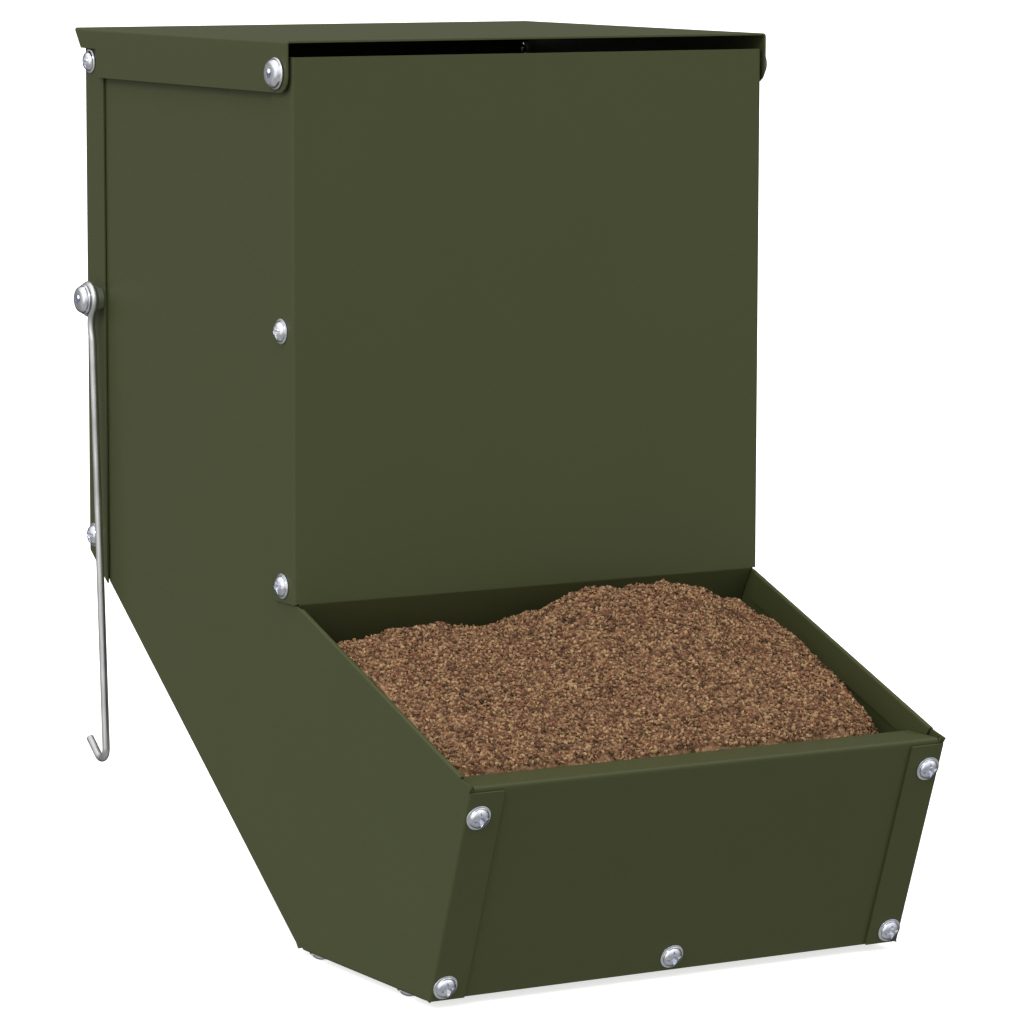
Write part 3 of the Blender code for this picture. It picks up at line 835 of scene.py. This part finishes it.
def hookLine():
    # centre line of the wire about its pivot, as (y, z)
    h, steps = hookShape, hookShape["steps"]
    neckAngle = math.pi + math.radians(h["neckStart"])
    sweep = tau - math.radians(h["eyeOpening"])
    eye = arc(Vector((0, 0)), h["eyeRadius"], neckAngle - sweep, sweep, steps["eye"])
    way = Vector((-math.sin(neckAngle), math.cos(neckAngle)))
    shaftTop = Vector((-h["shaftOffset"], -h["eyeRadius"] - h["neckLength"]))
    neck = []
    for i in range(1, steps["neck"] + 1):
        share = i / steps["neck"]
        ease = share * share * (3 - 2 * share)
        free = eye[-1] + way * h["neckLength"] * share
        settled = shaftTop + Vector((0, h["neckLength"] * h["neckEase"] * (1 - share)))
        neck.append(free.lerp(settled, ease))
    centre = Vector((h["footRadius"] - h["shaftOffset"], h["footRadius"] - h["reach"]))
    turn = math.radians(h["footTurn"])
    foot = arc(centre, h["footRadius"], math.pi, turn, steps["foot"])
    shaft = [neck[-1].lerp(foot[0], i / steps["shaft"]) for i in range(1, steps["shaft"])]
    tipWay = Vector((math.sin(turn), -math.cos(turn)))
    return eye + neck + shaft + foot + [foot[-1] + tipWay * (h["tip"] - h["tipRounding"])]


def hookMesh(pivot, name):
    # the wire round its line, with a UV map in metres: round the wire, and along it
    h = hookShape
    sides, radius = h["sides"], h["wireRadius"]
    line = [Vector((0, p.x, p.y)) for p in hookLine()]
    lean = Matrix.Rotation(-math.radians(h["lean"]), 3, "X")
    bm = bmesh.new()
    uv = bm.loops.layers.uv.new("wire")
    rows = []
    travelled = 0
    across = Vector((1, 0, 0))

    def wireRing(centre, way, size, at):
        normal = across.cross(way).normalized()
        verts = []
        for i in range(sides):
            angle = tau * i / sides
            offset = (across * math.cos(angle) + normal * math.sin(angle)) * size
            verts.append(bm.verts.new(pivot + lean @ (centre + offset)))
        rows.append((verts, at))

    last = len(line) - 1
    for i, point in enumerate(line):
        way = (line[min(i + 1, last)] - line[max(i - 1, 0)]).normalized()
        travelled += (point - line[max(i - 1, 0)]).length
        if i == 0:
            wireRing(point, way, radius * h["cutRadius"], travelled - h["cutPattern"])
            point = point + way * h["cutRounding"]
        wireRing(point, way, radius, travelled)
    for share in h["tipRings"]:
        size = radius * math.sqrt(1 - share * share)
        end = line[-1] + way * h["tipRounding"] * share
        wireRing(end, way, size, travelled + radius * share)
    for (upper, upperAt), (lower, lowerAt) in zip(rows, rows[1:]):
        for i in range(sides):
            after = (i + 1) % sides
            face = bm.faces.new([upper[i], upper[after], lower[after], lower[i]])
            around = [i, i + 1, i + 1, i]
            for loop, step, at in zip(face.loops, around, (upperAt, upperAt, lowerAt, lowerAt)):
                loop[uv].uv = (tau * radius * step / sides, at)
    bm.faces.new(list(reversed(rows[0][0])))
    bm.faces.new(rows[-1][0])
    bmesh.ops.recalc_face_normals(bm, faces=bm.faces)
    return softShade(meshOf(bm, name), 50)


joints = {joint["name"]: joint for joint in frame["joints"]}
for hand in ("left", "right"):
    pivot = Vector(joints[f"hook_{hand}_pivot"]["pos_m"])
    hook = addObject(hookMesh(pivot, f"wire_hook_{hand}"), f"wire_hook_{hand}")
    setFinish(hook, wire)
    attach(hook, f"hook_{hand}")
    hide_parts(f"hook_rod_{hand}")
print("hooks bent")


feedShape = {  # lengths in mm, places behind the hopper's front and above its base
    "side": 97.0,  # half of the width
    "lipAt": -107.6,
    "heights": [  # (x, y, z) on the heap: crest, slope, front, right edge, rear
        (-97, -34, 112), (-87, -32, 115.5), (-74, -30, 118.5), (-62, -30, 120), (-50, -30, 119.5),
        (-38, -30, 117), (-28, -30, 116.5), (-15, -30, 121), (3, -30, 126.5), (29, -30, 128),
        (52, -30, 126), (70, -30, 119.5), (83, -34, 111), (97, -36, 102),
        (-97, -70, 101.5), (-60, -68, 106.5), (-25, -68, 106), (5, -68, 110.5), (35, -68, 110.5),
        (62, -66, 107), (82, -62, 101), (97, -62, 92),
        (-97, -107, 84), (-60, -108, 82), (-20, -108, 82), (20, -108, 82), (55, -108, 81.5),
        (78, -107, 79.5), (86, -105, 72), (97, -104, 58), (90, -90, 84), (97, -88, 74),
        (-97, 4, 104), (-62, 4, 110), (-30, 4, 109), (0, 3, 115), (30, 3, 117), (58, 3, 114),
        (80, 5, 104), (97, 8, 96),
    ],
    "softness": 9,
    "lumps": [(23, 1.6), (9, 2.4), (4.5, 1.7)],  # width and height
    "cell": 1.25,
    "sunk": 0.45,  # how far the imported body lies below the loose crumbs
    "lipSlope": 2.5,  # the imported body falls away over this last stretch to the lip
}
storeShape = {
    "front": 186,  # heights of the fill in the hopper
    "back": 200,
    "cells": 105,
    "slices": 101,
    "lumpRise": 1.6,  # its lumps against the heap's, and where they are read from
    "lumpSpread": 0.7,
    "lumpRun": 171,
    "lumpStart": 300,
}
crumbLook = {
    "width": 1.25,
    "unevenness": 0.5,
    "lift": 0.55,
    "kinds": 7,
    "dents": (-0.36, 0.3),  # how far a corner moves in or out, as a share of its radius
    "seed": 7,
}
heapCrumbs = {"spacing": 0.82, "perSquareMillimetre": 2.0, "pieces": 4, "seed": 7}
storeCrumbs = {"spacing": 1.5, "perSquareMillimetre": 0.42, "seed": 16}
sheetInside = {  # the room that the sheets leave; pairs are (y, z)
    "wallFoot": 127.2,
    "throatAngle": 30,
    "throatFoot": (15.7, 99.0),
    "slope": (15.7, 14.8),
    "slopeFoot": (0.8, 3.2),
    "troughFoot": (-95.6, 3.2),
    "troughLean": 27.8 / 75.4,
    "lipUnder": 79.2,
    "lipGap": 0.6,
    "sheet": 0.8,
    "hopperFront": 1.5,
    "hopperBack": 173.0,
    "underStore": [(173.0, 129.4), (16.2, 15.2), (16.2, 98.9), (17.5, 100.2), (1.5, 127.6)],
}
feedOrigin = Vector((0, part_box("hopper_front_panel")[0].y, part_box("side_panel_left")[0].z))

# a smooth surface through the heights: one soft cone over each, weighted to meet them all
heapSpots = np.array(feedShape["heights"], float)
heapLevel = heapSpots[:, 2].mean()


def cones(places):
    away = np.linalg.norm(places[:, None, :] - heapSpots[None, :, :2], axis=2)
    return np.sqrt(away * away + feedShape["softness"] ** 2)


heapWeights = np.linalg.solve(cones(heapSpots[:, :2]), heapSpots[:, 2] - heapLevel)


def lumpy(x, y):
    # how far the lumps lift the surface at a place
    return sum(
        rise * noise.noise(Vector((x / width, y / width, width)))
        for width, rise in feedShape["lumps"]
    )


def heapHeight(x, y):
    return heapLevel + float((cones(np.array([[x, y]])) @ heapWeights)[0]) + lumpy(x, y)


def heapRow(x):
    # the open surface at x, from the lip back to the throat plate, as (y, z)
    room, lip = sheetInside, feedShape["lipAt"]
    slope = math.tan(math.radians(room["throatAngle"]))
    guess = rear = 5.0
    for _ in range(4):  # each turn brings it nearer to where the surface meets the leaning plate
        rear = (room["wallFoot"] - heapHeight(x, rear)) * slope - room["sheet"]
        rear = min(rear, room["throatFoot"][0])
    count = round((guess - lip) / feedShape["cell"])
    places = [lip + (rear - lip) * i / count for i in range(count + 1)]
    return [(y, heapHeight(x, y)) for y in places]


def storeRow(x):
    # the open surface of the fill at x, from the hopper's front to its back
    look, room = storeShape, sheetInside
    row = []
    for i in range(look["cells"] + 1):
        share = i / look["cells"]
        y = room["hopperFront"] + (room["hopperBack"] - room["hopperFront"]) * share
        z = look["front"] + (look["back"] - look["front"]) * share
        along = look["lumpRun"] * share * look["lumpSpread"] + look["lumpStart"]
        row.append((y, z + look["lumpRise"] * lumpy(x * look["lumpSpread"], along)))
    return row


def inFrame(x, yz):
    return feedOrigin + Vector((x, yz[0], yz[1])) * mm


def closedFeed(name, xs, outlines):
    # skins a row of closed outlines, one at each x
    bm = bmesh.new()
    slices = [
        [bm.verts.new(inFrame(x, yz)) for yz in outline] for x, outline in zip(xs, outlines)
    ]
    for left, right in zip(slices, slices[1:]):
        for i in range(len(left)):
            after = (i + 1) % len(left)
            bm.faces.new([left[i], left[after], right[after], right[i]])
    bm.faces.new(slices[0])
    bm.faces.new(list(reversed(slices[-1])))
    bmesh.ops.recalc_face_normals(bm, faces=bm.faces)
    return softShade(meshOf(bm, name), 60)


def heapOutline(row):
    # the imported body: a little under its open row, then down the throat plate and the sloping
    # floor, along the base, and up the trough's front to the lip
    look, room = feedShape, sheetInside
    fallFrom = look["lipAt"] + look["lipSlope"]
    packed = [(y, z - look["sunk"] - max(0, fallFrom - y)) for y, z in row]
    lipUnder = min(room["lipUnder"], packed[0][1] - room["lipGap"])
    foot = room["troughFoot"]
    top = foot[0] - room["troughLean"] * (lipUnder - foot[1])
    return packed + [
        room["throatFoot"], room["slope"], room["slopeFoot"], foot,
        (top, lipUnder), (look["lipAt"], lipUnder),
    ]


def openPatch(name, xs, rows):
    # only the open surface, for the crumbs to lie on
    bm = bmesh.new()
    lines = [[bm.verts.new(inFrame(x, yz)) for yz in row] for x, row in zip(xs, rows)]
    for left, right in zip(lines, lines[1:]):
        for i in range(len(left) - 1):
            bm.faces.new([left[i], right[i], right[i + 1], left[i + 1]])
    return meshOf(bm, name)


def crumbShapes():
    # a few dented balls, one across
    look = crumbLook
    rng = np.random.default_rng(look["seed"])
    shapes = bpy.data.collections.new("crumb shapes")
    bpy.context.scene.collection.children.link(shapes)
    for number in range(look["kinds"]):
        bm = bmesh.new()
        bmesh.ops.create_icosphere(bm, subdivisions=1, radius=0.5)
        for vert in bm.verts:
            vert.co *= 1 + rng.uniform(*look["dents"])
        shapes.objects.link(bpy.data.objects.new(f"crumb{number}", meshOf(bm, "crumb")))
    return shapes


crumbTree, given = newTree("scatter crumbs", {
    "Crumbs": "Collection", "Kinds": "Int", "Width": "Float", "Unevenness": "Float",
    "Lift": "Float", "Spacing": "Float", "Density": "Float", "Seed": "Int", "Finish": "Material",
})
spots = addNode(crumbTree, "GeometryNodeDistributePointsOnFaces", {
    "Mesh": given["Geometry"], "Distance Min": given["Spacing"], "Density Max": given["Density"],
    "Seed": given["Seed"],
}, distribute_method="POISSON")
drop = addNode(crumbTree, "ShaderNodeMath", {0: 0, 1: given["Lift"]}, operation="SUBTRACT")
lift = addNode(crumbTree, "FunctionNodeRandomValue", {
    2: drop.outputs[0], 3: given["Lift"], "Seed": 5,
}, data_type="FLOAT")
lift = addNode(crumbTree, "ShaderNodeVectorMath", {
    0: spots.outputs["Normal"], "Scale": lift.outputs[1],
}, operation="SCALE")
raised = addNode(crumbTree, "GeometryNodeSetPosition", {
    "Geometry": spots.outputs["Points"], "Offset": lift.outputs[0],
})
kinds = addNode(crumbTree, "GeometryNodeCollectionInfo", {
    "Collection": given["Crumbs"], "Separate Children": True, "Reset Children": True,
})
kind = addNode(crumbTree, "FunctionNodeRandomValue", {
    4: 0, 5: given["Kinds"], "Seed": 1,
}, data_type="INT")
tumble = addNode(crumbTree, "FunctionNodeRandomValue", {
    0: (0, 0, 0), 1: (tau, tau, tau), "Seed": 2,
}, data_type="FLOAT_VECTOR")
least = addNode(crumbTree, "ShaderNodeMath", {0: 1, 1: given["Unevenness"]}, operation="SUBTRACT")
most = addNode(crumbTree, "ShaderNodeMath", {0: 1, 1: given["Unevenness"]}, operation="ADD")
stretch = addNode(crumbTree, "FunctionNodeRandomValue", {
    0: least.outputs[0], 1: most.outputs[0], "Seed": 3,
}, data_type="FLOAT_VECTOR")
size = addNode(crumbTree, "ShaderNodeVectorMath", {
    0: stretch.outputs[0], "Scale": given["Width"],
}, operation="SCALE")
crumbs = addNode(crumbTree, "GeometryNodeInstanceOnPoints", {
    "Points": raised.outputs[0], "Instance": kinds.outputs[0], "Pick Instance": True,
    "Instance Index": kind.outputs[2], "Rotation": tumble.outputs[0], "Scale": size.outputs[0],
})
toneValue = addNode(crumbTree, "FunctionNodeRandomValue", {
    2: 0.0, 3: 1.0, "Seed": 4,
}, data_type="FLOAT")
toned = addNode(crumbTree, "GeometryNodeStoreNamedAttribute", {
    "Geometry": crumbs.outputs[0], "Name": "tone", "Value": toneValue.outputs[1],
}, data_type="FLOAT", domain="INSTANCE")
solid = addNode(crumbTree, "GeometryNodeRealizeInstances", {"Geometry": toned.outputs[0]})
solid = addNode(crumbTree, "GeometryNodeSetMaterial", {
    "Geometry": solid.outputs[0], "Material": given["Finish"],
})
addNode(crumbTree, "NodeGroupOutput", {"Geometry": solid.outputs[0]})


def crumbPiece(name, patch, shapes, scatter, seed):
    look = crumbLook
    made = runTree(crumbTree, addObject(patch, name), {
        "Crumbs": shapes, "Kinds": look["kinds"] - 1, "Width": look["width"] * mm,
        "Unevenness": look["unevenness"], "Lift": look["lift"] * mm,
        "Spacing": scatter["spacing"] * mm, "Density": scatter["perSquareMillimetre"] / mm ** 2,
        "Seed": seed, "Finish": looseFeed,
    }, name)
    piece = addObject(made, name)
    setFinish(piece, looseFeed)
    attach(piece, "housing")
    print(name, len(made.polygons), "faces")


def packedPiece(name, xs, outlines):
    piece = addObject(closedFeed(name, xs, outlines), name)
    setFinish(piece, packedFeed)
    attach(piece, "housing")


def makeFeed():
    side = feedShape["side"]
    heapXs = np.linspace(-side, side, round(2 * side / feedShape["cell"]) + 1)
    storeXs = np.linspace(-side, side, storeShape["slices"])
    heap = [heapRow(x) for x in heapXs]
    store = [storeRow(x) for x in storeXs]
    packedPiece("feed_heap", heapXs, [heapOutline(row) for row in heap])
    packedPiece("feed_store", storeXs, [row + sheetInside["underStore"] for row in store])
    shapes = crumbShapes()
    strips = np.array_split(np.arange(1, len(heapXs) - 1), heapCrumbs["pieces"])
    for number, strip in enumerate(strips):
        strip = range(strip[0], min(strip[-1] + 2, len(heapXs) - 1))
        patch = openPatch("patch", [heapXs[i] for i in strip], [heap[i] for i in strip])
        name = f"feed_crumbs_{number + 1}"
        crumbPiece(name, patch, shapes, heapCrumbs, heapCrumbs["seed"] + number)
    patch = openPatch("patch", storeXs[1:-1], [row[1:-1] for row in store[1:-1]])
    crumbPiece("feed_store_crumbs", patch, shapes, storeCrumbs, storeCrumbs["seed"])
    for obj in list(shapes.objects):
        bpy.data.objects.remove(obj, do_unlink=True)
    bpy.data.collections.remove(shapes)


makeFeed()
print("feed heaped")


stageLook = {
    "floorPale": "#F4F4F2",
    "floorDim": "#F2F2F0",
    "floorGlow": 0.7,
    "cloudsPerMetre": 3,
    "reach": 17.0,  # radius of the floor, m
    "sides": 64,
    "domeShare": 1.02,  # radius of the backdrop against the floor's
    "domeDrop": 0.3,
    "domeOpening": 0.01,
}
lowest = cadBox[0].z


def makeFloor():
    # a pale matt board that glows a little, so that contact shadows stay soft
    look = stageLook
    bm = bmesh.new()
    bm.faces.new(ring(bm, [look["reach"]] * look["sides"], lowest))
    floor = addObject(meshOf(bm, "floor"), "floor")
    material, tree, shader = newMaterial("pale studio floor", Roughness=0.9)
    place = addNode(tree, "ShaderNodeTexCoord").outputs["Object"]
    clouds = addNode(tree, "ShaderNodeTexNoise", {
        "Vector": place, "Scale": look["cloudsPerMetre"], "Detail": 2,
    })
    tone = addNode(tree, "ShaderNodeValToRGB", {"Fac": clouds.outputs["Fac"]}, stops=[
        (0.3, look["floorDim"]), (0.7, look["floorPale"]),
    ])
    tree.links.new(tone.outputs[0], shader.inputs["Base Color"])
    shader.inputs["Emission Color"].default_value = toLinear("#FFFFFF")
    shader.inputs["Emission Strength"].default_value = look["floorGlow"]
    setFinish(floor, material)
    floor.visible_diffuse = False
    floor.visible_glossy = False
    return floor


def makeBackdrop():
    # a white dome that only the camera sees
    look = stageLook
    quarter = look["sides"] // 4
    profile = []
    for i in range(quarter, -1, -1):
        angle = tau * i / look["sides"]
        radius = max(look["domeOpening"], look["reach"] * look["domeShare"] * math.cos(angle))
        profile.append((radius, lowest - look["domeDrop"] + look["reach"] * math.sin(angle)))
    dome = addObject(turned("backdrop", profile, steps=look["sides"]), "backdrop")
    material = bpy.data.materials.new("white backdrop")
    material.use_nodes = True
    tree = material.node_tree
    tree.nodes.clear()
    glow = addNode(tree, "ShaderNodeEmission", {"Color": toLinear("#FFFFFF"), "Strength": 1.0})
    addNode(tree, "ShaderNodeOutputMaterial", {"Surface": glow.outputs[0]})
    setFinish(dome, material)
    for rays in ("diffuse", "glossy", "transmission", "volume_scatter", "shadow"):
        setattr(dome, "visible_" + rays, False)
    return dome


makeFloor()
makeBackdrop()

skyLook = {
    "below": 0.4,
    "horizon": 0.74,
    "above": 1.2,
    "behind": 0.16,
    "brightSide": (-0.62, -0.78, 0.1),
    "groundFade": (-0.35, 0.05),
    "zenithFade": (0.0, 0.55),
    "sideFade": (-0.8, 0.05),
}
world = bpy.data.worlds.new("studio")
bpy.context.scene.world = world
world.use_nodes = True
sky = world.node_tree
sky.nodes.clear()
direction = addNode(sky, "ShaderNodeTexCoord").outputs["Generated"]
height = addNode(sky, "ShaderNodeSeparateXYZ", {0: direction}).outputs["Z"]


def faded(value, ends, start, finish):
    # runs from start to finish while the value runs between the ends
    return addNode(sky, "ShaderNodeMapRange", {
        "Value": value, "From Min": ends[0], "From Max": ends[1],
        "To Min": start, "To Max": finish,
    }, interpolation_type="SMOOTHSTEP").outputs[0]


lower = faded(height, skyLook["groundFade"], skyLook["below"], skyLook["horizon"])
upper = faded(height, skyLook["zenithFade"], 0, skyLook["above"] - skyLook["horizon"])
level = addNode(sky, "ShaderNodeMath", {0: lower, 1: upper}, operation="ADD")
facing = addNode(sky, "ShaderNodeVectorMath", {
    0: direction, 1: skyLook["brightSide"],
}, operation="DOT_PRODUCT")
side = faded(facing.outputs["Value"], skyLook["sideFade"], skyLook["behind"], 1)
level = addNode(sky, "ShaderNodeMath", {0: level.outputs[0], 1: side}, operation="MULTIPLY")
air = addNode(sky, "ShaderNodeBackground", {
    "Color": toLinear("#FFFFFF"), "Strength": level.outputs[0],
})
addNode(sky, "ShaderNodeOutputWorld", {"Surface": air.outputs[0]})

lamps = {  # suns: where each shines from, how wide it looks in degrees, and its power
    "key": {"from": (-1.5, -1.1, 1.2), "spread": 20, "power": 0.65},
    "side": {"from": (-2.0, -0.9, 0.2), "spread": 60, "power": 0.28},
    "top": {"from": (0.2, 0.2, 2.0), "spread": 60, "power": 0.35},
}
target = Vector((0, -0.12, -0.03))
for lampName, lamp in lamps.items():
    light = bpy.data.lights.new(lampName, "SUN")
    light.angle = math.radians(lamp["spread"])
    light.energy = lamp["power"]
    holder = bpy.data.objects.new(lampName, light)
    holder.location = lamp["from"]
    holder.rotation_euler = (target - holder.location).to_track_quat("-Z", "Y").to_euler()
    bpy.context.scene.collection.objects.link(holder)

cameraLook = {  # metres, degrees, and millimetres for the lens and the sensor
    "location": (-0.8936, -1.7009, 0.1616),
    "angles": (82.491, -0.125, -30.092),
    "lens": 168.24,
    "sensor": 36,
    "farthest": 60,
}
cameraData = bpy.data.cameras.new("camera")
cameraData.lens = cameraLook["lens"]
cameraData.sensor_width = cameraLook["sensor"]
cameraData.clip_end = cameraLook["farthest"]
camera = bpy.data.objects.new("camera", cameraData)
camera.location = cameraLook["location"]
camera.rotation_euler = [math.radians(angle) for angle in cameraLook["angles"]]
bpy.context.scene.collection.objects.link(camera)
bpy.context.scene.camera = camera
bpy.context.scene.view_settings.view_transform = "Standard"
print("stage lit")
